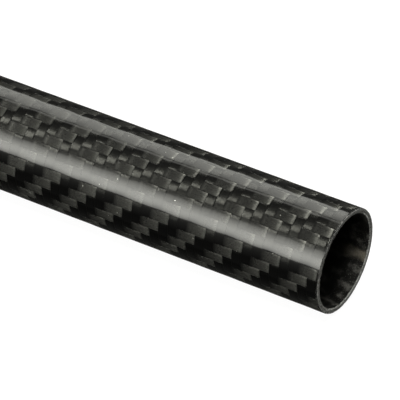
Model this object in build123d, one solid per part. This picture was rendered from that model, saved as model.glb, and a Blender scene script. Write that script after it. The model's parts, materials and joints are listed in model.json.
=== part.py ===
"""A length of round carbon fibre tube, rolled from woven cloth and sawn square at both ends.

The tube lies along X with its origin on the axis, half way between the two cut ends.
+Z is up, so the tube rests on the line at -Z. All sizes are in millimetres.
"""

from build123d import *
import os

# Section of the stock
OUTER_DIAMETER = 20.0
WALL = 1.0

# Cut length
LENGTH = 500.0

# Edges at each sawn end, broken with fine abrasive at 45 degrees, measured along the end face
OUTER_EDGE_BREAK = 0.20
INNER_EDGE_BREAK = 0.12


def wall_section() -> Sketch:
    """The wall cut lengthwise: a long thin rectangle on one side of the axis, corners broken."""
    middle_of_wall = OUTER_DIAMETER / 2 - WALL / 2
    with BuildSketch() as section:
        with Locations((0, middle_of_wall)):
            Rectangle(LENGTH, WALL)
        corners = section.vertices().sort_by(Axis.Y)
        bore_corners = corners[:2]
        skin_corners = corners[-2:]
        chamfer(bore_corners, INNER_EDGE_BREAK)
        chamfer(skin_corners, OUTER_EDGE_BREAK)
    return section.sketch


def sawn_tube() -> Part:
    """The wall section turned once about the tube's own axis."""
    return revolve(Plane.XZ * wall_section(), axis=Axis.X)


os.makedirs("parts", exist_ok=True)
tube = sawn_tube()
tube.label = "tube"
export_step(tube, "parts/tube.step")
print(f"tube: {tube.volume:.1f} cubic mm, box {tube.bounding_box().size}")
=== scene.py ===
"""The looks of a carbon fibre tube: its woven gloss skin, its sawn ends, its bore, and the studio.

Lengths are in metres unless a class says millimetres, and angles round the tube are in degrees from
straight up, positive towards the camera's side, which is -Y. A place on the cloth is in tows. A tow
that runs along the tube is called axial, and one that runs round it a hoop tow.
"""

import json
import logging
import math
from dataclasses import dataclass
from enum import Enum

import bpy
import numpy as np
from mathutils import Matrix, Vector


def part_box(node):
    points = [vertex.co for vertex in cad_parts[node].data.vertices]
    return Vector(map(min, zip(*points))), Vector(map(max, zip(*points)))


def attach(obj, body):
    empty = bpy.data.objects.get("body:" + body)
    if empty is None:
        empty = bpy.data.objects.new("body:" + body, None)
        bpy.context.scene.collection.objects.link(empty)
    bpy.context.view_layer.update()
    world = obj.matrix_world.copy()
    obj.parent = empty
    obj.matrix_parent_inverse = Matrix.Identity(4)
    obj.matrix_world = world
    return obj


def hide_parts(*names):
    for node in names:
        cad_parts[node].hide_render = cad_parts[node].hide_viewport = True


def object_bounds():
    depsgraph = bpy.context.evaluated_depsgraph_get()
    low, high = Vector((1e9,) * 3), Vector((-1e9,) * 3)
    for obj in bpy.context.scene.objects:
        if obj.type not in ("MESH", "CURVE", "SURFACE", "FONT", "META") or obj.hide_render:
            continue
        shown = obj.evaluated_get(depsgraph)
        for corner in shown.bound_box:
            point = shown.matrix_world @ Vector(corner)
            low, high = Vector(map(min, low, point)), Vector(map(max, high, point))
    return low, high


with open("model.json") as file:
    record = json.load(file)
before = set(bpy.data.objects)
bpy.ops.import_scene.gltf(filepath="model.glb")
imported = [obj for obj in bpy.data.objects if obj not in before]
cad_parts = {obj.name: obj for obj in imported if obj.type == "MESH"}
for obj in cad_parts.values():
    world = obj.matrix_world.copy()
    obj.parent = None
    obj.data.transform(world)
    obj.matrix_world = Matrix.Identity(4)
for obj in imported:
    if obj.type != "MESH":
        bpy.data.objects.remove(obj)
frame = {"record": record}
cad_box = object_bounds()

Colour = tuple[float, float, float]
Place = tuple[float, float, float]
Stops = tuple[tuple[float, float], ...]
# where a soft share is 0, and where it is 1
Fade = tuple[float, float]

MILLIMETRE = 0.001
CLOTH_MAP = "cloth"
BAKE_MAP = "OFBake"
log = logging.getLogger("scene")


class Region(Enum):
    """The finishes of the tube, in the order of its material slots."""

    SKIN = 0
    SAWN = 1
    BORE = 2


class Edge(Enum):
    """The four sawn edges, each with chips of its own, and none for the bends between them."""

    NONE = 0
    SHOWN_SKIN = 1
    SHOWN_BORE = 2
    HIDDEN_SKIN = 3
    HIDDEN_BORE = 4


class Scalar:
    """A number that a shader works out at each point. Arithmetic on it adds Math nodes."""

    def __init__(self, tree: "Tree", socket: bpy.types.NodeSocket) -> None:
        """Keeps the output socket and the tree that it is in."""
        self.tree = tree
        self.socket = socket

    def math(self, operation: str, *values: "Scalar | float") -> "Scalar":
        """Adds one Math node.

        Args:
            operation: Blender's name for the sum.
            values: The operands, wrapped sockets or plain numbers.

        Returns:
            The node's result.
        """
        node = self.tree.node("ShaderNodeMath", {"operation": operation}, dict(enumerate(values)))
        return Scalar(self.tree, node.outputs[0])

    def __add__(self, other: "Scalar | float") -> "Scalar":
        """The sum of two values."""
        return self.math("ADD", self, other)

    __radd__ = __add__

    def __sub__(self, other: "Scalar | float") -> "Scalar":
        """The difference of two values."""
        return self.math("SUBTRACT", self, other)

    def __rsub__(self, other: "Scalar | float") -> "Scalar":
        """A number less this value."""
        return self.math("SUBTRACT", other, self)

    def __mul__(self, other: "Scalar | float") -> "Scalar":
        """The product of two values."""
        return self.math("MULTIPLY", self, other)

    __rmul__ = __mul__

    def __truediv__(self, other: "Scalar | float") -> "Scalar":
        """The ratio of two values."""
        return self.math("DIVIDE", self, other)

    def __pow__(self, other: "Scalar | float") -> "Scalar":
        """This value raised to a power."""
        return self.math("POWER", self, other)

    def __mod__(self, other: "Scalar | float") -> "Scalar":
        """The remainder, from 0 up, also below zero."""
        return self.math("FLOORED_MODULO", self, other)

    def __abs__(self) -> "Scalar":
        """The value without its sign."""
        return self.math("ABSOLUTE", self)

    def __lt__(self, other: "Scalar | float") -> "Scalar":
        """1 where this value is the smaller, and otherwise 0."""
        return self.math("LESS_THAN", self, other)

    def __gt__(self, other: "Scalar | float") -> "Scalar":
        """1 where this value is the larger, and otherwise 0."""
        return self.math("GREATER_THAN", self, other)

    def floor(self) -> "Scalar":
        """The whole number below."""
        return self.math("FLOOR", self)

    def at_least(self, other: "Scalar | float") -> "Scalar":
        """The larger of two values."""
        return self.math("MAXIMUM", self, other)

    def at_most(self, other: "Scalar | float") -> "Scalar":
        """The smaller of two values."""
        return self.math("MINIMUM", self, other)

    def swing(self, width: float) -> "Scalar":
        """Noise about 0.5 turned into noise about 0, this many times as wide."""
        return (self - 0.5) * width

    def between(self, none: float, full: float) -> "Scalar":
        """A smooth share.

        Args:
            none: The value from which the share is 0.
            full: The value from which it is 1. It may be the lower of the two.

        Returns:
            The share, on a curve that starts and ends level.
        """
        settings = {"interpolation_type": "SMOOTHSTEP", "clamp": True}
        inputs = {"Value": self, "From Min": none, "From Max": full, "To Min": 0.0, "To Max": 1.0}
        return Scalar(self.tree, self.tree.node("ShaderNodeMapRange", settings, inputs).outputs[0])

    def choose(self, yes: "Scalar | float", no: "Scalar | float") -> "Scalar":
        """One of two values, or a blend of them.

        Args:
            yes: The result where this value is 1.
            no: The result where it is 0.

        Returns:
            The result.
        """
        # a Mix node's numbers are its sockets 2 and 3
        node = self.tree.node("ShaderNodeMix", {"data_type": "FLOAT"}, {0: self, 2: no, 3: yes})
        return Scalar(self.tree, node.outputs[0])


class Tree:
    """Adds nodes to one material, light or world."""

    def __init__(self, holder: bpy.types.Material | bpy.types.Light | bpy.types.World) -> None:
        """Takes the holder's node tree and empties it.

        Args:
            holder: What the nodes belong to.
        """
        holder.use_nodes = True
        self.tree = holder.node_tree
        self.tree.nodes.clear()

    def node(self, kind: str, settings: dict[str, object] | None = None,
             inputs: dict[str | int, object] | None = None) -> bpy.types.Node:
        """Adds one node.

        Args:
            kind: The node's type.
            settings: Its properties, set before its sockets. A list of stops fills a colour ramp.
            inputs: Socket names or numbers, each with a value, a wrapped socket or a socket.

        Returns:
            The new node.
        """
        node = self.tree.nodes.new(kind)
        for name, value in (settings or {}).items():
            if name == "stops":
                fill_ramp(node.color_ramp, value)
            else:
                setattr(node, name, value)
        for name, value in (inputs or {}).items():
            if isinstance(value, Scalar):
                self.tree.links.new(value.socket, node.inputs[name])
            elif isinstance(value, bpy.types.NodeSocket):
                self.tree.links.new(value, node.inputs[name])
            else:
                node.inputs[name].default_value = value
        return node

    def cloth_place(self) -> tuple[Scalar, Scalar]:
        """Reads the cloth's map.

        Returns:
            The place in tows along the tube and in tows round it.
        """
        place = self.node("ShaderNodeUVMap", {"uv_map": CLOTH_MAP})
        parts = self.node("ShaderNodeSeparateXYZ", {}, {0: place.outputs[0]})
        return Scalar(self, parts.outputs[0]), Scalar(self, parts.outputs[1])

    def point(self, x: Scalar | float, y: Scalar | float, z: Scalar | float = 0.0) -> bpy.types.NodeSocket:
        """Three values as a vector."""
        return self.node("ShaderNodeCombineXYZ", {}, {0: x, 1: y, 2: z}).outputs[0]

    def noise(self, place: bpy.types.NodeSocket, scale: float = 1.0, detail: float = 2.0) -> Scalar:
        """Soft noise about 0.5 at a place.

        Args:
            place: The vector that it reads.
            scale: Lumps to a unit.
            detail: How many finer layers it has.

        Returns:
            The noise.
        """
        inputs = {"Vector": place, "Scale": scale, "Detail": detail}
        return Scalar(self, self.node("ShaderNodeTexNoise", {}, inputs).outputs[0])

    def dice(self, x: Scalar | float, y: Scalar | float) -> Scalar:
        """An even random number from 0 to 1 for each pair of values."""
        node = self.node("ShaderNodeTexWhiteNoise", {"noise_dimensions": "2D"}, {"Vector": self.point(x, y)})
        return Scalar(self, node.outputs[0])

    def ramp(self, value: Scalar, stops: Stops) -> Scalar:
        """A value looked up along straight lines between stops."""
        node = self.node("ShaderNodeValToRGB", {"stops": stops}, {0: value})
        return Scalar(self, node.outputs[0])

    def tint(self, share: Scalar, low: bpy.types.NodeSocket | Colour, high: Colour) -> bpy.types.NodeSocket:
        """A colour between two.

        Args:
            share: 0 for the low colour, 1 for the high one.
            low: The first colour.
            high: The second colour.

        Returns:
            The colour's socket.
        """
        # a Mix node's colours are its sockets 6 and 7
        inputs = {0: share, 6: with_alpha(low), 7: with_alpha(high)}
        return self.node("ShaderNodeMix", {"data_type": "RGBA"}, inputs).outputs[2]

    def shade(self, colour: Colour, factor: Scalar) -> bpy.types.NodeSocket:
        """A colour made lighter or darker.

        Args:
            colour: The colour.
            factor: What each of its channels is multiplied by.

        Returns:
            The colour's socket.
        """
        level = self.node("ShaderNodeCombineColor", {}, {0: factor, 1: factor, 2: factor})
        settings = {"data_type": "RGBA", "blend_type": "MULTIPLY"}
        inputs = {0: 1.0, 6: with_alpha(colour), 7: level.outputs[0]}
        return self.node("ShaderNodeMix", settings, inputs).outputs[2]

    def relief(self, height: Scalar) -> bpy.types.NodeSocket:
        """A normal that follows a height in metres."""
        inputs = {"Strength": 1.0, "Distance": 1.0, "Height": height}
        return self.node("ShaderNodeBump", {}, inputs).outputs[0]

    def finish(self, shader: bpy.types.Node) -> None:
        """Makes a shader the material's surface."""
        self.node("ShaderNodeOutputMaterial", {}, {0: shader.outputs[0]})


def with_alpha(colour: bpy.types.NodeSocket | Colour) -> bpy.types.NodeSocket | tuple[float, ...]:
    """A plain colour with its alpha, or a socket as it is."""
    return (*colour, 1.0) if isinstance(colour, tuple) else colour


def fill_ramp(ramp: bpy.types.ColorRamp, stops: Stops) -> None:
    """Gives a grey ramp its stops.

    Args:
        ramp: The ramp, which has two stops when it is new.
        stops: Pairs of place and level, lowest place first.
    """
    while len(ramp.elements) < len(stops):
        ramp.elements.new(1.0)
    for element, (place, level) in zip(ramp.elements, stops, strict=True):
        element.position = place
        element.color = (level, level, level, 1.0)


@dataclass(frozen=True)
class Lumps:
    """Soft noise on a surface: its lumps to a unit each way, its seed and its count of finer layers."""

    first: float
    second: float
    seed: float = 0.0
    detail: float = 2.0

    def at(self, tree: Tree, first: Scalar, second: Scalar, shift: Scalar | float = 0.0) -> Scalar:
        """Adds the noise to a material.

        Args:
            tree: The material's nodes.
            first: The place one way.
            second: The place the other way.
            shift: What is added to the seed.

        Returns:
            The noise, about 0.5.
        """
        place = tree.point(first * self.first, second * self.second, shift + self.seed)
        return tree.noise(place, detail=self.detail)


@dataclass(frozen=True)
class TopTow:
    """The tow that lies on top at each point of the cloth, as values of a shader.

    `axial` is 1 on an axial tow and 0 on a hoop tow. `beat` is the place in the twill's repeat, in
    tows from the start of the axial float. `along` and `across` run from -1 to 1 between the ends of
    the float and the sides of the tow. `run` and `side` are places along and across the fibres in
    tows. `lane` and `float_number` tell tows and their floats apart.
    """

    axial: Scalar
    beat: Scalar
    along: Scalar
    across: Scalar
    run: Scalar
    side: Scalar
    lane: Scalar
    float_number: Scalar


@dataclass(frozen=True)
class Cloth:
    """Twill woven two over two under: the count of its tows and where they lie on the tube.

    The count along the tube starts at a tow's edge, `first_edge` from the shown end. On the top and
    the rear side the rows lie up to `lag` of a tow further round than even spacing gives.
    """

    tows_round: int = 30
    tow_along: float = 1.9205 * MILLIMETRE
    first_edge: float = 4.31 * MILLIMETRE
    repeat: int = 4
    over: int = 2
    lag: float = 0.175
    lag_rear: Fade = (-14.0, -6.0)
    lag_front: Fade = (4.4, 1.0)
    hoop_lead: float = 2.5
    hoop_lane: float = 100.0

    def depth(self, along: Scalar) -> Scalar:
        """The distance from the shown end, in millimetres."""
        return (along * self.tow_along + self.first_edge) * (1.0 / MILLIMETRE)

    def lag_at(self, round_: Scalar) -> Scalar:
        """How far the rows lie past even spacing, in tows."""
        return round_.between(*self.lag_rear) * round_.between(*self.lag_front) * self.lag

    def top_tow(self, along: Scalar, round_: Scalar) -> TopTow:
        """Finds the tow on top.

        An axial float covers two columns of every four, and each row's floats start one column
        further along than those of the row before. A hoop float fills what they leave: it is
        centred as many rows on as its column counts, less a fixed lead.

        Args:
            along: The place in tows along the tube.
            round_: The place in tows round it.

        Returns:
            The tow, and the place on it.
        """
        row = (round_ + 0.5).floor()
        column = along.floor()
        repeat = float(self.repeat)
        beat = (along - row) % repeat
        axial = beat < float(self.over)
        hoop_along = (round_ - column + self.hoop_lead + repeat / 2.0) % repeat - repeat / 2.0
        hoop_across = (along - column) * 2.0 - 1.0
        hoop_number = (round_ - column + 0.5) / repeat
        return TopTow(
            axial=axial,
            beat=beat,
            along=axial.choose(beat - 1.0, hoop_along).at_least(-1.0).at_most(1.0),
            across=axial.choose((round_ - row) * 2.0, hoop_across),
            run=axial.choose(along, round_),
            side=axial.choose(round_, along),
            lane=axial.choose(row, column + self.hoop_lane),
            float_number=axial.choose((along - row) / repeat, hoop_number).floor(),
        )


@dataclass(frozen=True)
class Flake:
    """A stretch of the shown end's outer edge that flaked off.

    Its reach is in degrees to both sides of its middle, and `bare` says at which degrees from the
    middle the frayed fibres and their painted highlight begin to thin out, and where they are gone.
    """

    angle: float = -15.0
    reach: float = 11.0
    depth: float = 0.15 * MILLIMETRE
    steepness: float = 3.0
    bare: Fade = (12.0, 8.4)

    def depth_at(self, angles: np.ndarray) -> np.ndarray:
        """The depth at angles in radians: whole over the middle, with a straight slope to each end."""
        away = np.abs(np.degrees(angles) - self.angle) / self.reach
        return self.depth * np.clip((1.0 - away) * self.steepness, 0.0, 1.0)

    def bareness(self, cloth: Cloth, round_: Scalar) -> Scalar:
        """How bare of fray and its painted highlight a place is, from its tows round the tube."""
        tow = 360.0 / cloth.tows_round
        return abs(round_ - self.angle / tow).between(self.bare[0] / tow, self.bare[1] / tow)


@dataclass(frozen=True)
class WovenGloss:
    """Carbon cloth under clear gloss resin. Heights are millimetres.

    `painted_highlight_levels` is painted highlight and shade on an axial tow: its brightness from
    its raised end, at 0, to the end that dips under a hoop tow, at 1. A swing is how widely noise
    changes a factor, and lumps are counted to a tow, first along the fibres or the tube. Gaps, with
    their painted shade, and painted rim highlights are given as places across a tow, from -1 to 1.
    A speck's size is its radius squared, in cells, and its luck the share of cells without one.
    """

    cloth: Cloth
    axial_colour: Colour = (0.050, 0.050, 0.0460)
    # the hoop tows are the same fibre as the axial ones; their far darker colour is painted shade
    hoop_shaded_colour: Colour = (0.0087, 0.0087, 0.0080)
    axial_roughness: float = 0.436
    hoop_roughness: float = 0.335
    along_fibres: float = 1.0
    axial_turn: float = 0.25
    coat_roughness: float = 0.07
    coat_ior: float = 1.5

    axial_arch: float = 0.112
    hoop_arch: float = 0.130
    shoulder: float = 0.045
    axial_end_power: float = 6.0
    hoop_end_power: float = 14.0
    side_power: float = 16.0
    fibre_height: float = 0.004

    wander: float = 0.1
    drift_lumps: Lumps = Lumps(0.35, 0.35, 0.0, 1.0)
    sway_lumps: Lumps = Lumps(0.35, 0.35, 2.45, 1.0)
    fibre_lumps: Lumps = Lumps(0.5, 16.0, 0.0, 3.0)
    grain_lumps: Lumps = Lumps(5.0, 11.0)
    axial_seed: float = 5.0
    fibre_swing: float = 0.8
    luck_swing: float = 0.3
    axial_grain_swing: float = 2.0
    hoop_grain_swing: float = 1.0
    least_grain: float = 0.3
    mottle_lumps: Lumps = Lumps(6.0, 7.0, 9.0)
    mottle_fade: Fade = (0.32, 0.66)
    mottle_swing: float = 0.5

    axial_gap: Fade = (0.90, 0.99)
    hoop_gap: Fade = (0.84, 0.97)
    gap_shadow: float = 0.7
    # painted highlight along the upper side of each axial tow, strongest near its raised end
    painted_rim_across: Fade = (-0.62, -0.82)
    painted_rim_beat: Fade = (1.4, 0.2)
    painted_rim_gain: float = 0.45
    uneven_seed: float = 500.0
    uneven_swing: float = 0.6
    ragged_swing: float = 0.16
    speck_cells: float = 3.0
    speck_size: float = 0.025
    speck_seed: float = 70.5
    speck_luck: float = 0.994
    speck_gain: float = 3.8
    # painted highlight at the raised end of each axial float, and painted shade towards its dipping end
    painted_highlight_levels: Stops = (
        (0.0, 0.50), (0.02, 0.74), (0.04, 0.90), (0.07, 0.93), (0.10, 0.90), (0.15, 0.78),
        (0.22, 0.67), (0.28, 0.59), (0.34, 0.54), (0.42, 0.465), (0.55, 0.385), (0.68, 0.32),
        (0.78, 0.245), (0.86, 0.13), (0.92, 0.05), (1.0, 0.04))

    def wandering(self, tree: Tree, along: Scalar, round_: Scalar) -> tuple[Scalar, Scalar]:
        """Moves the place so that the tows run a little crooked, and lag where the cloth does.

        Args:
            tree: The material's nodes.
            along: The place in tows along the tube.
            round_: The place in tows round it.

        Returns:
            The place on a cloth with straight and even tows.
        """
        drift = self.drift_lumps.at(tree, along, round_).swing(self.wander)
        sway = self.sway_lumps.at(tree, round_, along).swing(self.wander)
        return along + drift, round_ - self.cloth.lag_at(round_) + sway

    def streaks(self, tree: Tree, top: TopTow, lumps: Lumps) -> Scalar:
        """Noise drawn out along the fibres, with a seed of its own on the axial tows."""
        return lumps.at(tree, top.run, top.side, top.axial * self.axial_seed)

    def height(self, top: TopTow) -> Scalar:
        """The height of the tow on top, from 0 at its borders.

        A parabola along the float, times a plateau that falls away at the float's two ends and at
        the tow's two sides.

        Args:
            top: The tow.

        Returns:
            The height in millimetres.
        """
        arch = top.axial.choose(self.axial_arch, self.hoop_arch)
        bow = arch * (1.0 - top.along * top.along) + self.shoulder
        ends = 1.0 - abs(top.along) ** top.axial.choose(self.axial_end_power, self.hoop_end_power)
        sides = 1.0 - abs(top.across) ** self.side_power
        return bow * ends * sides

    def fibre_level(self, tree: Tree, top: TopTow, fibres: Scalar) -> Scalar:
        """How light the fibres are: streaked and grainy, each float by its own luck, with painted shade in
        the gap along one side of each tow.

        Args:
            tree: The material's nodes.
            top: The tow on top.
            fibres: The noise of its fibres.

        Returns:
            The factor on the tow's colour.
        """
        grain = self.streaks(tree, top, self.grain_lumps)
        axial_grain = (grain.swing(self.axial_grain_swing) + 1.0).at_least(self.least_grain)
        texture = top.axial.choose(axial_grain, grain.swing(self.hoop_grain_swing) + 1.0)
        luck = tree.dice(top.lane, top.float_number)
        # painted shade in the gap along one side of each tow
        gap = top.axial.choose(top.across.between(*self.axial_gap), top.across.between(*self.hoop_gap))
        streaked = (fibres.swing(self.fibre_swing) + 1.0) * (luck.swing(self.luck_swing) + 1.0)
        return streaked * texture * (1.0 - gap * self.gap_shadow)

    def painted_float_highlight(self, tree: Tree, top: TopTow, fibres: Scalar) -> Scalar:
        """Painted highlight and shade along an axial tow: bright at its raised end and dimming on, with a
        painted rim highlight along its upper side.

        Where the painted highlight falls off along the float differs from float to float and is ragged
        with the fibres, but less and less so towards its dipping end.

        Args:
            tree: The material's nodes.
            top: The tow on top.
            fibres: The noise of its fibres.

        Returns:
            The factor on the axial tow's colour.
        """
        share = top.beat / float(self.cloth.over)
        rest = 1.0 - share
        uneven = tree.dice(top.lane + self.uneven_seed, top.float_number).swing(self.uneven_swing)
        share = share + (share * uneven + fibres.swing(self.ragged_swing)) * rest * rest
        # painted rim highlight along the upper side of the raised half of an axial float
        painted_rim = top.across.between(*self.painted_rim_across) * top.beat.between(*self.painted_rim_beat) * top.axial
        # painted highlight and shade: a ramp of levels along the float, plus the painted rim highlight
        return tree.ramp(share.at_least(0.0), self.painted_highlight_levels) + painted_rim * self.painted_rim_gain

    def specks(self, tree: Tree, along: Scalar, round_: Scalar) -> Scalar:
        """Rare grains in the resin: a small light dot in the middle of a few square cells.

        Args:
            tree: The material's nodes.
            along: The place in tows along the tube.
            round_: The place in tows round it.

        Returns:
            The grains' gain in level, and 0 between them.
        """
        x, y = along * self.speck_cells, round_ * self.speck_cells
        away = (x % 1.0 - 0.5) ** 2.0 + (y % 1.0 - 0.5) ** 2.0
        luck = tree.dice(x.floor() + self.speck_seed, y.floor() + 0.5)
        return (away < self.speck_size) * (luck > self.speck_luck) * self.speck_gain

    def material(self) -> bpy.types.Material:
        """Builds the skin's material.

        Returns:
            Two gloss shaders with their highlights across the fibres, one for the axial tows and
            one for the hoop tows, whose darker colour is painted shade, under one coat.
        """
        material = bpy.data.materials.new("woven_gloss_skin")
        tree = Tree(material)
        raw_along, raw_round = tree.cloth_place()
        along, round_ = self.wandering(tree, raw_along, raw_round)
        top = self.cloth.top_tow(along, round_)
        fibres = self.streaks(tree, top, self.fibre_lumps)
        specks = self.specks(tree, raw_along, raw_round)

        level = self.fibre_level(tree, top, fibres)
        mottle = self.mottle_lumps.at(tree, along, round_).between(*self.mottle_fade)
        hoop_level = level * (mottle.swing(self.mottle_swing) + 1.0) + specks
        axial_level = level * self.painted_float_highlight(tree, top, fibres) + specks
        height = self.height(top) + fibres.swing(self.fibre_height)

        tangent = tree.node("ShaderNodeTangent", {"direction_type": "UV_MAP", "uv_map": CLOTH_MAP})
        shared = {
            "Normal": tree.relief(height * MILLIMETRE), "Tangent": tangent.outputs[0],
            "Metallic": 1.0, "Anisotropic": self.along_fibres,
            "Coat Weight": 1.0, "Coat Roughness": self.coat_roughness, "Coat IOR": self.coat_ior,
        }
        hoop = tree.node("ShaderNodeBsdfPrincipled", {}, {
            "Base Color": tree.shade(self.hoop_shaded_colour, hoop_level),
            "Roughness": self.hoop_roughness, **shared})
        axial = tree.node("ShaderNodeBsdfPrincipled", {}, {
            "Base Color": tree.shade(self.axial_colour, axial_level),
            "Roughness": self.axial_roughness, "Anisotropic Rotation": self.axial_turn, **shared})
        both = {0: top.axial, 1: hoop.outputs[0], 2: axial.outputs[0]}
        tree.finish(tree.node("ShaderNodeMixShader", {}, both))
        return material


@dataclass(frozen=True)
class SawnLaminate:
    """The cut edge of the plies: dry grey fibre ends, with fine rings where one ply meets the next.

    The slope that breaks its outer edge is darker, and frayed to light dashes where it meets the
    skin, apart from the flake; the dashes are also a painted highlight of the edge. A stretch of the
    inner ring is lighter, a painted sheen, and one stretch of the face is darker. Lengths are
    millimetres, and places round the end are tows from its top.
    """

    cloth: Cloth
    flake: Flake
    colour: Colour = (0.310, 0.310, 0.302)
    roughness: float = 0.55
    gloss: float = 0.08
    grains_in_metre: float = 4000.0
    grain_detail: float = 3.0
    grain_height: float = 0.01
    grain_swing: float = 3.4
    dash_lumps: Lumps = Lumps(5.0, 2.5)
    dash_swing: float = 1.8
    patch_lumps: Lumps = Lumps(0.7, 1.0, 0.0, 1.0)
    patch_swing: float = 0.4
    least_level: float = 0.1

    ply_seam: float = 9.43
    seam_fade: Fade = (0.09, 0.02)
    seam_shadow: float = 0.3
    inner_ring: float = 9.16
    ring_fade: Fade = (0.14, 0.02)
    ring_gain: float = 0.15
    # painted sheen: a lighter stretch of the inner ring
    sheen_place: float = -4.4
    sheen_fade: Fade = (1.5, 0.0)
    sheen_gain: float = 2.3
    # one stretch round the face is made darker
    darkening_place: float = 3.6
    darkening_fade: Fade = (3.4, 1.0)
    darkening: float = 0.45

    shown_reach: float = 100.0
    slope_depth: Fade = (0.004, 0.03)
    slope_level: float = 0.02
    # frayed fibre ends drawn as light dashes, which are also a painted highlight of the edge
    fray_depth: Fade = (0.10, 0.16)
    fray_dashes: Fade = (0.42, 0.55)
    fray_highlight_level: float = 0.19

    def slope(self, depth: Scalar, dashes: Scalar, bare: Scalar) -> Scalar:
        """The level of the outer edge's slope, with its frayed dashes, which are also a painted highlight.

        Args:
            depth: Millimetres from the shown end.
            dashes: Noise in short dashes along the edge.
            bare: How bare of fray the flake is.

        Returns:
            The level.
        """
        # light dashes of frayed fibre ends, also a painted highlight along the edge
        frayed_highlight = depth.between(*self.fray_depth) * dashes.between(*self.fray_dashes) * (1.0 - bare)
        return self.slope_level + frayed_highlight * self.fray_highlight_level

    def material(self) -> bpy.types.Material:
        """Builds the material of the sawn ends.

        Returns:
            One dull shader, its level worked out from the radius and the place round the end.
        """
        material = bpy.data.materials.new("sawn_laminate")
        tree = Tree(material)
        along, round_ = tree.cloth_place()
        depth = self.cloth.depth(along)
        place = tree.node("ShaderNodeTexCoord").outputs["Object"]
        parts = tree.node("ShaderNodeSeparateXYZ", {}, {0: place})
        y, z = Scalar(tree, parts.outputs[1]), Scalar(tree, parts.outputs[2])
        radius = (y * y + z * z) ** 0.5 * (1.0 / MILLIMETRE)

        grain = tree.noise(place, self.grains_in_metre, self.grain_detail)
        dashes = self.dash_lumps.at(tree, round_, radius)
        patches = self.patch_lumps.at(tree, round_, radius)
        level = grain.swing(self.grain_swing) + dashes.swing(self.dash_swing)
        level = (level + patches.swing(self.patch_swing) + 1.0).at_least(self.least_level)

        seam = abs(radius - self.ply_seam).between(*self.seam_fade) * self.seam_shadow
        # painted sheen on one stretch of the inner ring, where the cut fibres catch the light
        dust_and_sheen = abs(round_ - self.sheen_place).between(*self.sheen_fade) * self.sheen_gain
        ring = abs(radius - self.inner_ring).between(*self.ring_fade) * (dust_and_sheen + self.ring_gain)
        # darker over one stretch round the face
        darkening = abs(round_ - self.darkening_place).between(*self.darkening_fade) * self.darkening
        slope = self.slope(depth, dashes, self.flake.bareness(self.cloth, round_))
        is_shown_outside = (depth < self.shown_reach) * (radius > self.ply_seam)
        is_slope = depth.between(*self.slope_depth) * is_shown_outside
        level = level * (1.0 - seam) * (1.0 + ring) * is_slope.choose(slope, 1.0) * (1.0 - darkening)
        tree.finish(tree.node("ShaderNodeBsdfPrincipled", {}, {
            "Base Color": tree.shade(self.colour, level), "Roughness": self.roughness,
            "Specular IOR Level": self.gloss,
            "Normal": tree.relief(grain * self.grain_height * MILLIMETRE)}))
        return material


@dataclass(frozen=True)
class MandrelFace:
    """The bore's surface, as the mandrel left it: black resin with dull marks, and dust at its mouth.

    A painted patch of light lies near the mouth, on the lower far wall. Lengths are millimetres
    from the shown end, and places round the bore are tows from its top.
    """

    cloth: Cloth
    colour: Colour = (0.0036, 0.0036, 0.0034)
    dust_colour: Colour = (0.108, 0.106, 0.098)
    # colour of the painted patch of light on the bore wall
    painted_light_colour: Colour = (0.160, 0.144, 0.120)
    roughness: float = 0.38
    dust_roughness: float = 0.3
    gloss: float = 0.3
    mark_lumps: Lumps = Lumps(1.1, 0.45, 3.0, 3.0)
    mark_fade: Fade = (0.47, 0.70)
    mark_height: float = 0.01
    grain_lumps: Lumps = Lumps(9.0, 3.2, 5.0)
    least_dull: float = 0.35
    mouth_fade: Fade = (5.0, 0.2)
    mouth_gain: float = 0.7
    inner_dust: float = 0.25
    speck_fade: Fade = (0.58, 0.70)
    painted_light_place: float = -10.0
    painted_light_bend: float = 1.5
    painted_light_fade: Fade = (0.75, 0.1)
    painted_light_depth: Fade = (6.0, 1.0)
    painted_light_level: float = 0.25
    painted_light_grain: float = 1.1

    def material(self) -> bpy.types.Material:
        """Builds the bore's material.

        Returns:
            One shader, black where it is clean and duller and paler where it is dusty, with a painted patch
            of light near the mouth.
        """
        material = bpy.data.materials.new("mandrel_face")
        tree = Tree(material)
        along, round_ = tree.cloth_place()
        depth = self.cloth.depth(along)
        marks = self.mark_lumps.at(tree, round_, depth)
        grains = self.grain_lumps.at(tree, round_, depth)
        dull = marks.between(*self.mark_fade) * (grains + self.least_dull)
        mouth = depth.between(*self.mouth_fade)
        specks = grains.between(*self.speck_fade) * mouth
        dust_and_sheen = (dull * (mouth * self.mouth_gain + self.inner_dust) + specks).at_most(1.0)
        # painted patch of light on the bore wall near the mouth
        bent = round_ + marks.swing(self.painted_light_bend)
        painted_light = abs(bent - self.painted_light_place).between(*self.painted_light_fade) * depth.between(*self.painted_light_depth)
        painted_light = painted_light * (grains * self.painted_light_grain + self.painted_light_level)
        dusty = tree.tint(dust_and_sheen, self.colour, self.dust_colour)
        tree.finish(tree.node("ShaderNodeBsdfPrincipled", {}, {
            "Base Color": tree.tint(painted_light.at_most(1.0), dusty, self.painted_light_colour),
            "Roughness": dust_and_sheen * self.dust_roughness + self.roughness,
            "Specular IOR Level": self.gloss,
            "Normal": tree.relief(marks * self.mark_height * MILLIMETRE)}))
        return material


@dataclass(frozen=True)
class Bend:
    """A corner of the wall's outline, and the run of rings from it to the next corner.

    The run is of one finish. Its spans are even where `growth` is 1, grow away from this bend above
    1, and shrink towards the next one below 1. A coarse run has few points round it. `chip_x` and
    `chip_radius` say how far a chip of depth 1 in the bend's sawn edge moves it.
    """

    x: float
    radius: float
    region: Region
    spans: int
    growth: float = 1.0
    is_coarse: bool = False
    edge: Edge = Edge.NONE
    chip_x: float = 0.0
    chip_radius: float = 0.0


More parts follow.
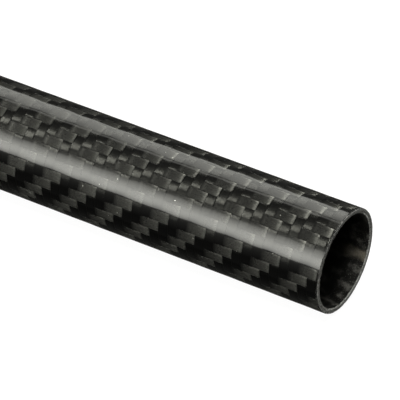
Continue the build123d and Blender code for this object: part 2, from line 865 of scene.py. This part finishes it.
@dataclass(frozen=True)
class Path:
    """The wall cut lengthwise: a closed loop of rings, with one entry for each ring.

    `region` and `strip` are those of the span after the ring. `step` is the ring's count of fine
    steps from one point to the next. `is_corner` marks a sharp bend. `run` is the bend that the
    ring's run starts from, and `share` how far along the run the ring lies.
    """

    x: np.ndarray
    radius: np.ndarray
    region: np.ndarray
    strip: np.ndarray
    step: np.ndarray
    is_corner: np.ndarray
    run: np.ndarray
    share: np.ndarray


@dataclass(frozen=True)
class Corners:
    """The corners of some faces: rings, counted on past the last one, and turns in fine steps."""

    ring: np.ndarray
    turn: np.ndarray


@dataclass
class RolledTube:
    """The whole tube as one closed surface: the wall's outline carried once round the axis.

    The plain length has `columns` points round it, and the sawn ends, where the chips are, have
    `split` times as many. The outer break drops by `break_slope` of its length. `slant` is how far
    the shown end leans back at `slant_angle`. The waves' turns, their paces in radians a metre and
    the chips' widths in radians are ranges for random draws. The last four values are heights in
    the baked map, whose side is 1.
    """

    name: str
    length: float
    outer_radius: float
    bore_radius: float
    outer_break: float
    bore_break: float
    cloth: Cloth
    flake: Flake
    columns: int = 90
    split: int = 4
    rings_in_tow: int = 3
    skin_strips: int = 3
    bore_spans: int = 30
    face_spans: int = 8
    slope_spans: int = 2
    fine_spans: int = 5
    fine_length: float = 2.4 * MILLIMETRE
    fine_growth: float = 1.5
    break_slope: float = 0.25
    mouth_wear: float = 0.22 * MILLIMETRE
    slant: float = 0.12 * MILLIMETRE
    slant_angle: float = 70.0

    resin_depth: float = 0.014 * MILLIMETRE
    ridge_height: float = 0.007 * MILLIMETRE
    ridge_start: float = 2.7
    wave_height: float = 0.0035 * MILLIMETRE
    wave_count: int = 28
    wave_turns: tuple[int, int] = (3, 18)
    wave_paces: tuple[float, float] = (100.0, 1700.0)
    chip_depth: float = 0.20 * MILLIMETRE
    chip_count: int = 130
    chip_widths: tuple[float, float] = (0.012, 0.05)
    chip_rarity: int = 3
    seed: int = 11

    bake_margin: float = 0.004
    bake_skin: float = 0.268
    bake_bore: float = 0.118
    bake_end: float = 0.022

    @property
    def fine_steps(self) -> int:
        """The fine steps of one whole turn."""
        return self.columns * self.split

    def bends(self) -> list[Bend]:
        """The corners of the wall's outline.

        Returns:
            The bends from the hidden end along the skin, and back by the bore.
        """
        half = self.length / 2
        skin, bore = self.outer_radius, self.bore_radius
        skin_end, bore_end = half - self.outer_break, half - self.bore_break
        face_top, face_foot = skin - self.outer_break * self.break_slope, bore + self.mouth_wear
        plain, inner = skin_end - self.fine_length, bore_end - self.fine_length
        long_spans = round(2 * plain / self.cloth.tow_along * self.rings_in_tow)
        fine, slope, face = self.fine_spans, self.slope_spans, self.face_spans
        grow, shrink = self.fine_growth, 1.0 / self.fine_growth
        return [
            Bend(-skin_end, skin, Region.SKIN, fine, grow, edge=Edge.HIDDEN_SKIN, chip_x=1.0),
            Bend(-plain, skin, Region.SKIN, long_spans, is_coarse=True),
            Bend(plain, skin, Region.SKIN, fine, shrink),
            Bend(skin_end, skin, Region.SAWN, slope, edge=Edge.SHOWN_SKIN, chip_x=-1.0),
            Bend(half, face_top, Region.SAWN, face, edge=Edge.SHOWN_SKIN, chip_radius=-0.5),
            Bend(half, face_foot, Region.SAWN, slope, edge=Edge.SHOWN_BORE, chip_radius=0.9),
            Bend(bore_end, bore, Region.BORE, fine, grow, edge=Edge.SHOWN_BORE, chip_x=-0.8),
            Bend(inner, bore, Region.BORE, self.bore_spans, is_coarse=True),
            Bend(-inner, bore, Region.BORE, fine, shrink),
            Bend(-bore_end, bore, Region.SAWN, slope, edge=Edge.HIDDEN_BORE, chip_x=0.6),
            Bend(-half, face_foot, Region.SAWN, face, edge=Edge.HIDDEN_BORE, chip_radius=0.5),
            Bend(-half, face_top, Region.SAWN, slope, edge=Edge.HIDDEN_SKIN, chip_radius=-0.5),
        ]

    def path(self) -> Path:
        """The loop of rings: each run between two bends cut into spans.

        The spans are even, or the share of the run that is done is a power of the share of its
        spans. The first ring of a coarse run is shared with a fine one, and is fine itself.

        Returns:
            The loop, with one entry for each ring and the span after it.
        """
        bends = self.bends()
        spans = np.array([bend.spans for bend in bends])
        run = np.repeat(np.arange(len(bends)), spans)
        number = np.arange(len(run)) - np.repeat(np.cumsum(spans) - spans, spans)
        even = number / spans[run]
        growth = np.array([bend.growth for bend in bends])[run]
        share = np.where(growth >= 1.0, even ** growth, 1.0 - (1.0 - even) ** (1.0 / growth))
        x = np.array([bend.x for bend in bends])
        radius = np.array([bend.radius for bend in bends])
        x = x[run] + (np.roll(x, -1) - x)[run] * share
        radius = radius[run] + (np.roll(radius, -1) - radius)[run] * share
        region = np.array([bend.region.value for bend in bends])[run]
        is_coarse = np.array([bend.is_coarse for bend in bends])[run] & (number > 0)
        is_corner = np.array([bend.edge is not Edge.NONE for bend in bends])[run] & (number == 0)
        step = np.where(is_coarse, self.split, 1)
        return Path(x, radius, region, self.strips(x, region), step, is_corner, run, share)

    def strips(self, x: np.ndarray, region: np.ndarray) -> np.ndarray:
        """Numbers the strips of the baked map.

        The skin's come first, from the hidden end on, then the bore, the shown end and the hidden end.

        Args:
            x: The rings' places along the tube.
            region: Their finishes.

        Returns:
            The strip of each ring.
        """
        along = (x / (self.length / 2 - self.outer_break) + 1) / 2
        skin = np.clip((along * self.skin_strips).astype(int), 0, self.skin_strips - 1)
        end = np.where(x > 0, self.skin_strips + 1, self.skin_strips + 2)
        inside = np.where(region == Region.BORE.value, self.skin_strips, end)
        return np.where(region == Region.SKIN.value, skin, inside)

    def swell(self, x: np.ndarray, angle: np.ndarray) -> np.ndarray:
        """How far the resin lies below the true radius: twill ridges that print through, and slow waves.

        The ridges are one cosine along the twill's diagonal. The waves are a sum of cosines of
        random length and slant, with whole turns round the tube. Both fade out at the sawn ends.

        Args:
            x: Places along the tube.
            angle: Places round it, in radians.

        Returns:
            The depth, at least 0.
        """
        random = np.random.default_rng(self.seed)
        count = self.wave_count
        turns = random.integers(*self.wave_turns, count)
        pace = random.uniform(*self.wave_paces, count) * random.choice((-1.0, 1.0), count)
        start = random.uniform(0.0, 2 * math.pi, count)
        phase = turns * angle[..., None] + pace * x[..., None] + start
        waves = np.cos(phase).sum(-1) / math.sqrt(count / 2)
        along = (self.length / 2 - x - self.cloth.first_edge) / self.cloth.tow_along
        round_ = angle / (2 * math.pi) * self.cloth.tows_round
        ridges = np.cos(2 * math.pi * (along - round_ - self.ridge_start) / self.cloth.repeat)
        depth = self.resin_depth - self.ridge_height * ridges - self.wave_height * waves
        near_end = self.length / 2 - self.outer_break - np.abs(x)
        return np.maximum(depth, 0.0) * np.clip(near_end / self.fine_length, 0.0, 1.0)

    def chips(self, angle: np.ndarray, edge: Edge) -> np.ndarray:
        """How deep one edge is chipped: the deepest of many pointed notches, most of them slight.

        Args:
            angle: Places round the edge, in radians.
            edge: The edge.

        Returns:
            The depth at each place.
        """
        random = np.random.default_rng(self.seed + edge.value)
        place = random.uniform(-math.pi, math.pi, self.chip_count)
        width = random.uniform(*self.chip_widths, self.chip_count)
        depth = self.chip_depth * random.uniform(0.0, 1.0, self.chip_count) ** self.chip_rarity
        away = np.abs((angle[:, None] - place + math.pi) % (2 * math.pi) - math.pi)
        deepest = (depth * np.clip(1.0 - away / width, 0.0, 1.0)).max(-1)
        if edge is Edge.SHOWN_SKIN:
            return np.maximum(deepest, self.flake.depth_at(angle))
        return deepest

    def points(self, path: Path, ring: np.ndarray, turn: np.ndarray) -> np.ndarray:
        """The places of the points: between the bends, which chips move, less the resin's swell.

        Args:
            path: The wall's loop.
            ring: Each point's ring.
            turn: Each point's turn, in fine steps.

        Returns:
            One row of three for each point.
        """
        angles = np.arange(self.fine_steps) * 2 * math.pi / self.fine_steps - math.pi
        chips = np.stack([self.chips(angles, edge) for edge in Edge])
        lean = self.slant * (1.0 + np.cos(angles - math.radians(self.slant_angle))) / 2
        bends = self.bends()
        edge = np.array([bend.edge.value for bend in bends])
        moves = np.array([(bend.x, bend.radius, bend.chip_x, bend.chip_radius) for bend in bends])
        corners = moves[:, None, :2] + moves[:, None, 2:] * chips[edge][:, :, None]
        is_shown_end = np.isin(edge, (Edge.SHOWN_SKIN.value, Edge.SHOWN_BORE.value))
        corners[:, :, 0] -= is_shown_end[:, None] * lean
        run, share = path.run[ring], path.share[ring][:, None]
        place = corners[run, turn] * (1.0 - share) + np.roll(corners, -1, axis=0)[run, turn] * share
        angle = turn * 2 * math.pi / self.fine_steps - math.pi
        x, radius = place[:, 0], place[:, 1]
        radius = radius - np.where(path.region[ring] == Region.SKIN.value, self.swell(x, angle), 0.0)
        return np.stack([x, -radius * np.sin(angle), radius * np.cos(angle)], -1)

    def four_sided(self, path: Path) -> Corners:
        """The faces between rings with as many points.

        Args:
            path: The wall's loop.

        Returns:
            Their corners, counter-clockwise from outside.
        """
        rings = np.flatnonzero(path.step == np.roll(path.step, -1))
        counts = self.fine_steps // path.step[rings]
        ring = np.repeat(rings, counts)
        step = path.step[ring]
        firsts = np.repeat(np.cumsum(counts) - counts, counts)
        turn = (np.arange(len(ring)) - firsts) * step
        return Corners(np.stack([ring, ring, ring + 1, ring + 1], -1),
                       np.stack([turn, turn + step, turn + step, turn], -1))

    def three_sided(self, path: Path) -> Corners:
        """The faces between a fine ring and a coarse one, five for each coarse step.

        Three fans side by side: the first two fine edges meet the coarse ring's near point, the
        last two its far point, and one face fills the middle. Their turns are in quarters of a
        coarse step. They run the other way where the coarse ring comes first.

        Args:
            path: The wall's loop.

        Returns:
            Their corners, counter-clockwise from outside.
        """
        next_step = np.roll(path.step, -1)
        is_coarse = np.array([[0, 0, 1], [0, 0, 1], [0, 1, 1], [0, 0, 1], [0, 0, 1]])
        quarters = np.array([[0, 1, 0], [1, 2, 0], [2, 4, 0], [2, 3, 4], [3, 4, 4]])
        turns = quarters * self.split // 4
        column = np.arange(self.columns)[:, None, None] * self.split
        ring, turn = [], []
        for first in np.flatnonzero(path.step != next_step):
            is_coarse_first = path.step[first] > next_step[first]
            side = 1 - is_coarse if is_coarse_first else is_coarse
            order = slice(None, None, -1 if is_coarse_first else 1)
            fans = np.broadcast_to(first + side, (self.columns, *side.shape))
            ring.append(fans[..., order].reshape(-1, 3))
            turn.append((column + turns)[..., order].reshape(-1, 3))
        return Corners(np.concatenate(ring), np.concatenate(turn))

    def build(self) -> bpy.types.Object:
        """Builds the surface: all rings' points in one row, joined by four-sided and three-sided faces.

        Returns:
            The tube's object, at the origin.
        """
        path = self.path()
        rings = len(path.x)
        counts = self.fine_steps // path.step
        firsts = np.cumsum(counts) - counts
        ring = np.repeat(np.arange(rings), counts)
        turn = (np.arange(len(ring)) - firsts[ring]) * path.step[ring]

        groups = (self.four_sided(path), self.three_sided(path))
        corner_ring = np.concatenate([group.ring.ravel() for group in groups])
        corner_turn = np.concatenate([group.turn.ravel() for group in groups])
        sizes = np.concatenate([np.full(len(group.ring), group.ring.shape[1]) for group in groups])
        # a face belongs to the lower of its rings
        face_ring = np.concatenate([group.ring.min(-1) for group in groups])
        at = corner_ring % rings
        numbers = firsts[at] + corner_turn // path.step[at] % counts[at]

        mesh = mesh_of(self.name, self.points(path, ring, turn), numbers, sizes)
        mesh.polygons.foreach_set("material_index", path.region[face_ring].astype(np.int32))
        corners = Corners(corner_ring, corner_turn)
        self.lay_cloth_map(mesh, path, corners)
        self.lay_bake_map(mesh, path, corners, np.repeat(path.strip[face_ring], sizes))
        sharpen(mesh, ring, path.is_corner)
        piece = bpy.data.objects.new(self.name, mesh)
        bpy.context.scene.collection.objects.link(piece)
        return piece

    def lay_cloth_map(self, mesh: bpy.types.Mesh, path: Path, corners: Corners) -> None:
        """Maps the surface in tows: along the tube from its shown end, and round it from its top.

        Args:
            mesh: The tube's mesh.
            path: The wall's loop.
            corners: The corners of all faces in one row.
        """
        along = (self.length / 2 - path.x - self.cloth.first_edge) / self.cloth.tow_along
        round_ = (corners.turn / self.fine_steps - 0.5) * self.cloth.tows_round
        lay_map(mesh, CLOTH_MAP, along[corners.ring % len(path.x)], round_)

    def lay_bake_map(self, mesh: bpy.types.Mesh, path: Path, corners: Corners, strip: np.ndarray) -> None:
        """Maps the surface to a square in flat strips: three for the skin, one for the bore, one an end.

        A long strip runs along the square with the tube, and an end's strip with the turn.

        Args:
            mesh: The tube's mesh.
            path: The wall's loop.
            corners: The corners of all faces in one row.
            strip: Each corner's strip.
        """
        margin = self.bake_margin
        heights = np.array([self.bake_skin] * self.skin_strips + [self.bake_bore] + [self.bake_end] * 2)
        floors = np.cumsum(heights + margin) - heights - margin / 2
        spans = np.hypot(np.diff(path.x, append=path.x[0]), np.diff(path.radius, append=path.radius[0]))
        reach = np.concatenate([[0.0], np.cumsum(spans)])
        starts = np.array([np.flatnonzero(path.strip == number)[0] for number in range(len(heights))])
        ends = starts + np.bincount(path.strip, minlength=len(heights))
        start, end = reach[starts[strip]], reach[ends[strip]]
        share = (reach[corners.ring] - start) / (end - start)
        round_ = corners.turn / self.fine_steps
        is_end = strip > self.skin_strips
        across = margin + np.where(is_end, round_, share) * (1 - 2 * margin)
        up = floors[strip] + np.where(is_end, share, round_) * heights[strip]
        lay_map(mesh, BAKE_MAP, across, up)

    def dress(self, piece: bpy.types.Object) -> None:
        """Gives the tube its three finishes.

        Args:
            piece: The tube's object.
        """
        finishes = {
            Region.SKIN: WovenGloss(self.cloth),
            Region.SAWN: SawnLaminate(self.cloth, self.flake),
            Region.BORE: MandrelFace(self.cloth),
        }
        for region in Region:
            piece.data.materials.append(finishes[region].material())


def mesh_of(name: str, points: np.ndarray, numbers: np.ndarray, sizes: np.ndarray) -> bpy.types.Mesh:
    """Makes a mesh from whole arrays.

    Args:
        name: The mesh's name.
        points: One row of three for each point.
        numbers: The point numbers of all faces in one row, counter-clockwise from outside.
        sizes: How many corners each face has.

    Returns:
        The mesh, smooth shaded.
    """
    mesh = bpy.data.meshes.new(name)
    mesh.vertices.add(len(points))
    mesh.vertices.foreach_set("co", points.astype(np.float32).ravel())
    mesh.loops.add(len(numbers))
    mesh.loops.foreach_set("vertex_index", numbers.astype(np.int32))
    mesh.polygons.add(len(sizes))
    mesh.polygons.foreach_set("loop_start", (np.cumsum(sizes) - sizes).astype(np.int32))
    mesh.update(calc_edges=True)
    mesh.shade_smooth()
    return mesh


def lay_map(mesh: bpy.types.Mesh, name: str, across: np.ndarray, up: np.ndarray) -> None:
    """Gives a mesh a flat map.

    Args:
        mesh: The mesh.
        name: The map's name.
        across: Each corner's first coordinate.
        up: Each corner's second coordinate.
    """
    places = np.stack([across, up], -1).astype(np.float32)
    mesh.uv_layers.new(name=name).data.foreach_set("uv", places.ravel())


def sharpen(mesh: bpy.types.Mesh, ring: np.ndarray, is_corner: np.ndarray) -> None:
    """Marks the edges that lie along a ring with a corner as sharp.

    Args:
        mesh: The mesh.
        ring: Each point's ring.
        is_corner: Whether each ring has a corner.
    """
    ends = np.empty(len(mesh.edges) * 2, np.int32)
    mesh.edges.foreach_get("vertices", ends)
    rings = ring[ends.reshape(-1, 2)]
    marked = (rings[:, 0] == rings[:, 1]) & is_corner[rings[:, 0]]
    mesh.attributes.new("sharp_edge", "BOOLEAN", "EDGE").data.foreach_set("value", marked)


def flat_sheet(name: str, corners: np.ndarray) -> bpy.types.Object:
    """Builds a flat sheet with four corners, which has no material yet.

    Args:
        name: The sheet's name.
        corners: One row of three for each corner, in order round the sheet.

    Returns:
        The sheet's object.
    """
    count = len(corners)
    sheet = bpy.data.objects.new(name, mesh_of(name, corners, np.arange(count), np.array([count])))
    bpy.context.scene.collection.objects.link(sheet)
    return sheet


@dataclass(frozen=True)
class Softbox:
    """A flat lit panel parallel to the tube. Its angles are those at which the tube's axis sees it.

    `across` gives its glow from the high angle to the low one, and `along` from `x_from` to `x_to`.
    `lean` squeezes the profile across it, by a factor that changes along it.
    """

    name: str
    high_angle: float
    low_angle: float
    x_from: float
    x_to: float
    radiance: float
    across: Stops
    along: Stops
    lean: Stops = ((0.0, 1.0), (1.0, 1.0))
    colour: Colour = (1.0, 1.0, 0.93)
    distance: float = 0.9

    def build(self) -> None:
        """Builds the panel as an area light: its power is its radiance times its area times pi."""
        middle = math.radians((self.high_angle + self.low_angle) / 2)
        spread = math.radians(abs(self.low_angle - self.high_angle) / 2)
        light = bpy.data.lights.new(self.name, "AREA")
        light.shape = "RECTANGLE"
        light.size = self.x_to - self.x_from
        light.size_y = 2 * self.distance * math.tan(spread)
        light.energy = self.radiance * math.pi * light.size * light.size_y
        self.dress(light)
        away = Vector((0.0, -math.sin(middle), math.cos(middle)))
        side = Vector((1.0, 0.0, 0.0))
        panel = bpy.data.objects.new(self.name, light)
        centre = away * self.distance + side * (self.x_from + self.x_to) / 2
        turned = Matrix((side, away.cross(side), away)).transposed().to_4x4()
        panel.matrix_world = Matrix.Translation(centre) @ turned
        bpy.context.scene.collection.objects.link(panel)

    def dress(self, light: bpy.types.Light) -> None:
        """Makes the light's glow follow its profiles.

        Args:
            light: The area light.
        """
        tree = Tree(light)
        place = tree.node("ShaderNodeNewGeometry").outputs["Parametric"]
        parts = tree.node("ShaderNodeSeparateXYZ", {}, {0: place})
        along, across = Scalar(tree, parts.outputs[0]), Scalar(tree, parts.outputs[1])
        level = tree.ramp(across * tree.ramp(along, self.lean), self.across) * tree.ramp(along, self.along)
        glow = tree.node("ShaderNodeEmission", {}, {"Color": with_alpha(self.colour), "Strength": level})
        tree.node("ShaderNodeOutputLight", {}, {0: glow.outputs[0]})


@dataclass(frozen=True)
class LightTable:
    """The table under the tube, a sheet of lit white acrylic that no reflection picks up.

    It is only just white, so that the tube's outlines blend into it.
    """

    size: float = 12.0
    glow: float = 0.95
    colour: Colour = (0.03, 0.03, 0.03)
    roughness: float = 0.9

    def build(self) -> None:
        """Builds the table at the lowest point of the tube."""
        half = self.size / 2
        corners = np.array([(-half, -half), (half, -half), (half, half), (-half, half)])
        sheet = flat_sheet("table", np.column_stack([corners, np.full(len(corners), cad_box[0].z)]))
        self.dress(sheet)
        sheet.visible_glossy = False
        sheet.visible_diffuse = False

    def dress(self, sheet: bpy.types.Object) -> None:
        """Gives the table its glow.

        Args:
            sheet: The table's object.
        """
        material = bpy.data.materials.new("white_acrylic")
        tree = Tree(material)
        tree.finish(tree.node("ShaderNodeBsdfPrincipled", {}, {
            "Base Color": with_alpha(self.colour), "Roughness": self.roughness,
            "Emission Color": (1.0, 1.0, 1.0, 1.0), "Emission Strength": self.glow}))
        sheet.data.materials.append(material)


@dataclass(frozen=True)
class BlackNet:
    """A black net over the tube's far length and hidden end, which no camera sees.

    It hangs at an angle and a distance from the tube's axis, square to the way to it, and lets a
    small share of the left softbox through.
    """

    angle: float = 20.0
    distance: float = 0.1
    width: float = 0.07
    x_from: float = -0.42
    x_to: float = -0.01
    share: float = 0.12

    def build(self) -> None:
        """Builds the net."""
        angle = math.radians(self.angle)
        middle = np.array([0.0, -math.sin(angle), math.cos(angle)]) * self.distance
        half = np.array([0.0, math.cos(angle), math.sin(angle)]) * self.width / 2
        left, right = np.array([self.x_from, 0.0, 0.0]), np.array([self.x_to, 0.0, 0.0])
        sheet = flat_sheet("net", middle + np.array([left - half, right - half, right + half, left + half]))
        self.dress(sheet)
        sheet.visible_camera = False

    def dress(self, sheet: bpy.types.Object) -> None:
        """Gives the net its gauze.

        Args:
            sheet: The net's object.
        """
        material = bpy.data.materials.new("black_net")
        tree = Tree(material)
        let_through = with_alpha((self.share, self.share, self.share))
        tree.finish(tree.node("ShaderNodeBsdfTransparent", {}, {0: let_through}))
        sheet.data.materials.append(material)


@dataclass(frozen=True)
class DimRoom:
    """The room: white to the camera, and otherwise dim and warm, darker below than above."""

    up: float = 0.14
    down: float = 0.033
    bright_height: float = 0.95
    seen_level: float = 1.0
    seen_colour: Colour = (1.0, 1.0, 1.0)
    warm: Colour = (1.0, 1.0, 0.93)

    def build(self) -> None:
        """Builds the room as the scene's world."""
        world = bpy.data.worlds.new("room")
        bpy.context.scene.world = world
        tree = Tree(world)
        way = tree.node("ShaderNodeTexCoord").outputs["Generated"]
        height = Scalar(tree, tree.node("ShaderNodeSeparateXYZ", {}, {0: way}).outputs[2])
        dim = height.between(0.0, self.bright_height) * (self.up - self.down) + self.down
        seen = Scalar(tree, tree.node("ShaderNodeLightPath").outputs["Is Camera Ray"])
        glow = tree.node("ShaderNodeBackground", {}, {
            "Color": tree.tint(seen, self.warm, self.seen_colour),
            "Strength": seen.choose(self.seen_level, dim)})
        tree.node("ShaderNodeOutputWorld", {}, {0: glow.outputs[0]})


@dataclass(frozen=True)
class Studio:
    """A light table, ten softboxes and a black net in a dim room.

    `soft` is a profile that fades at both borders, and `far` one that is strongest far along.
    """

    soft: Stops = ((0.0, 0.0), (0.15, 1.0), (0.85, 1.0), (1.0, 0.0))
    far: Stops = ((0.0, 0.0), (0.45, 1.0), (0.9, 1.0), (1.0, 0.0))

    def rear_lights(self) -> list[Softbox]:
        """The lights of the upper highlight.

        Returns:
            The long softbox that the gloss mirrors, with a dark line along it, and a short one that
            only the fibres catch.
        """
        rear_across = (
            (0.0, 0.0), (0.027, 0.56), (0.106, 0.66), (0.121, 0.03), (0.159, 0.03), (0.175, 0.74),
            (0.264, 0.86), (0.394, 0.94), (0.523, 1.0), (0.876, 1.0), (0.882, 0.0), (1.0, 0.0))
        rear_along = (
            (0.0, 0.35), (0.36, 0.35), (0.385, 1.0), (0.51, 1.0), (0.56, 0.5), (0.8, 0.3), (1.0, 0.0))
        rear_lean = ((0.0, 1.055), (0.41, 1.055), (0.51, 0.945), (1.0, 0.945))
        return [
            Softbox("rear_softbox", high_angle=-68.0, low_angle=-24.0, x_from=-1.0, x_to=0.8, radiance=2.30,
                    across=rear_across, along=rear_along, lean=rear_lean),
            Softbox("rear_key", high_angle=-54.0, low_angle=-24.0, x_from=0.0, x_to=0.28, radiance=16.0,
                    across=self.soft, along=self.soft),
        ]

    def front_lights(self) -> list[Softbox]:
        """The lights of the lower highlight.

        Returns:
            The long softbox that the gloss mirrors, which fades downwards, and two long dim cards
            that lift the tows above and below it.
        """
        front_across = (
            (0.0, 0.45), (0.092, 0.70), (0.198, 0.95), (0.34, 1.03), (0.445, 0.94), (0.79, 0.3),
            (0.865, 0.055), (0.97, 0.05), (1.0, 0.0))
        front_along = ((0.0, 1.0), (0.51, 1.0), (0.60, 0.25), (0.72, 0.25), (0.8, 0.2), (1.0, 0.0))
        upper_across = ((0.0, 1.0), (0.85, 1.0), (1.0, 0.0))
        lower_across = ((0.0, 0.0), (0.12, 0.07), (0.5, 0.07), (0.66, 0.28), (0.82, 0.5), (1.0, 1.0))
        card_along = ((0.0, 1.0), (0.9, 1.0), (1.0, 0.0))
        return [
            Softbox("front_softbox", high_angle=37.0, low_angle=82.9, x_from=-1.0, x_to=0.8, radiance=7.4,
                    across=front_across, along=front_along),
            Softbox("upper_card", high_angle=3.0, low_angle=42.3, x_from=-1.0, x_to=0.8, radiance=0.05,
                    across=upper_across, along=card_along),
            Softbox("lower_card", high_angle=82.0, low_angle=142.0, x_from=-1.0, x_to=0.8, radiance=0.40,
                    across=lower_across, along=card_along),
        ]

    def fibre_lights(self) -> list[Softbox]:
        """The other lights, which the photograph's view sees in the fibres alone.

        Returns:
            A strong light far to the left, three that reach from the tube's middle past its shown
            end, and a dim one beyond that end, which is for the rear views.
        """
        key_across = (
            (0.0, 0.0), (0.1, 0.5), (0.2, 1.0), (0.5, 1.0), (0.65, 0.25), (0.93, 0.15), (1.0, 0.0))
        return [
            Softbox("left_softbox", high_angle=7.0, low_angle=32.0, x_from=-1.4, x_to=-0.42, radiance=88.0,
                    across=self.soft, along=self.soft),
            Softbox("key_softbox", high_angle=-14.0, low_angle=28.0, x_from=0.0, x_to=0.48, radiance=12.5,
                    across=key_across, along=self.far),
            Softbox("low_softbox", high_angle=36.0, low_angle=60.0, x_from=0.0, x_to=0.48, radiance=11.5,
                    across=self.soft, along=self.far),
            Softbox("back_softbox", high_angle=-100.0, low_angle=-62.0, x_from=0.0, x_to=0.48, radiance=0.8,
                    across=self.soft, along=self.far),
            Softbox("end_softbox", high_angle=-30.0, low_angle=4.0, x_from=0.5, x_to=1.3, radiance=1.6,
                    across=self.soft, along=self.soft),
        ]

    def build(self) -> None:
        """Builds the table, the lights, the net and the room."""
        LightTable().build()
        for softbox in [*self.rear_lights(), *self.front_lights(), *self.fibre_lights()]:
            softbox.build()
            log.info("light %s", softbox.name)
        BlackNet().build()
        DimRoom().build()


@dataclass(frozen=True)
class PhotoCamera:
    """The photograph's view of the shown end, level and with nothing shifted.

    The azimuth turns it from straight in front towards the shown end, and it looks down by the
    elevation.
    """

    place: Place = (0.47664, -0.4263, 0.3937)
    azimuth: float = 31.075
    elevation: float = 38.229
    focal_pixels: float = 3495.0
    frame_pixels: float = 400.0
    sensor: float = 36.0
    nearest: float = 0.01
    farthest: float = 100.0

    def build(self) -> None:
        """Builds the camera and makes it the scene's."""
        turn, fall = math.radians(self.azimuth), math.radians(self.elevation)
        back = Vector((math.sin(turn) * math.cos(fall), -math.cos(turn) * math.cos(fall), math.sin(fall)))
        right = Vector((math.cos(turn), math.sin(turn), 0.0))
        data = bpy.data.cameras.new("photo_camera")
        data.sensor_width = self.sensor
        data.lens = self.focal_pixels / self.frame_pixels * self.sensor
        data.clip_start = self.nearest
        data.clip_end = self.farthest
        camera = bpy.data.objects.new("photo_camera", data)
        turned = Matrix((right, back.cross(right), back)).transposed().to_4x4()
        camera.matrix_world = Matrix.Translation(Vector(self.place)) @ turned
        bpy.context.scene.collection.objects.link(camera)
        bpy.context.scene.camera = camera


def tube_from_frame() -> RolledTube:
    """Takes the tube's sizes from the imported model's box and its mounts.

    Returns:
        The tube, not yet built.
    """
    mounts = {mount["name"]: mount["dims"] for mount in frame["record"]["mounts"]}
    skin, bore = mounts["outer_skin"], mounts["bore"]
    low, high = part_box("tube")
    length = high.x - low.x
    return RolledTube(
        name="woven_tube",
        length=length,
        outer_radius=skin["r_mm"] * MILLIMETRE,
        bore_radius=bore["r_mm"] * MILLIMETRE,
        outer_break=(length - skin["length_mm"] * MILLIMETRE) / 2,
        bore_break=(length - bore["length_mm"] * MILLIMETRE) / 2,
        cloth=Cloth(),
        flake=Flake(),
    )


def main() -> None:
    """Builds the tube, the studio and the camera."""
    logging.basicConfig(level=logging.INFO, format="%(name)s: %(message)s")
    tube = tube_from_frame()
    piece = tube.build()
    tube.dress(piece)
    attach(piece, "root")
    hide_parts("tube")
    log.info("piece %s: %d faces", piece.name, len(piece.data.polygons))
    Studio().build()
    PhotoCamera().build()
    bpy.context.scene.view_settings.view_transform = "Standard"


if __name__ == "__main__":
    main()
